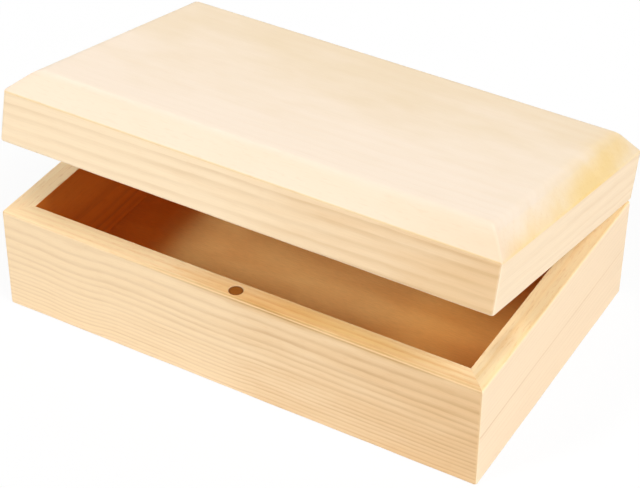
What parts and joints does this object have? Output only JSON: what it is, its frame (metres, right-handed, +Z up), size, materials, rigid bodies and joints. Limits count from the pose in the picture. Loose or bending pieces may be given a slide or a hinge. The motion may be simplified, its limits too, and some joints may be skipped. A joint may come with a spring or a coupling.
{
  "type": "hinged lid wooden box",
  "caption": "Small rectangular pine keepsake box with mitred corners, a hinged lid bevelled on all four sides and standing ajar, and a magnet catch in the front rim.",
  "frame": {"origin": "centre of the base's underside, on the surface that the box stands on", "axes": "+X along the long front, left to right; +Y from the front to the hinges; +Z up"},
  "size_m": [0.22, 0.1432, 0.1087],
  "materials": {
    "pine": "bare, sanded smooth",
    "plywood": "bare, sanded smooth",
    "magnet": "brown lacquered disc magnet",
    "brass": "plain rolled brass"
  },
  "bodies": {
    "base": {"base_front_wall": "pine", "base_back_wall": "pine", "base_left_wall": "pine", "base_right_wall": "pine", "base_bottom_panel": "plywood", "base_magnet": "magnet", "left_hinge_base_leaf": "brass", "right_hinge_base_leaf": "brass", "left_hinge_pin": "brass", "right_hinge_pin": "brass", "base_hinge_screws": "brass"},
    "lid": {"lid_front_rail": "pine", "lid_back_rail": "pine", "lid_left_rail": "pine", "lid_right_rail": "pine", "lid_top_board": "pine", "lid_magnet": "magnet", "left_hinge_lid_leaf": "brass", "right_hinge_lid_leaf": "brass", "lid_hinge_screws": "brass"}
  },
  "joints": [
    {"name": "lid_hinge", "type": "hinge", "parent": "base", "child": "lid", "pos_m": [0, 0.0706, 0.04815], "axis": [-1, 0, 0], "range_deg": [-13.5, 166.5]}
  ]
}
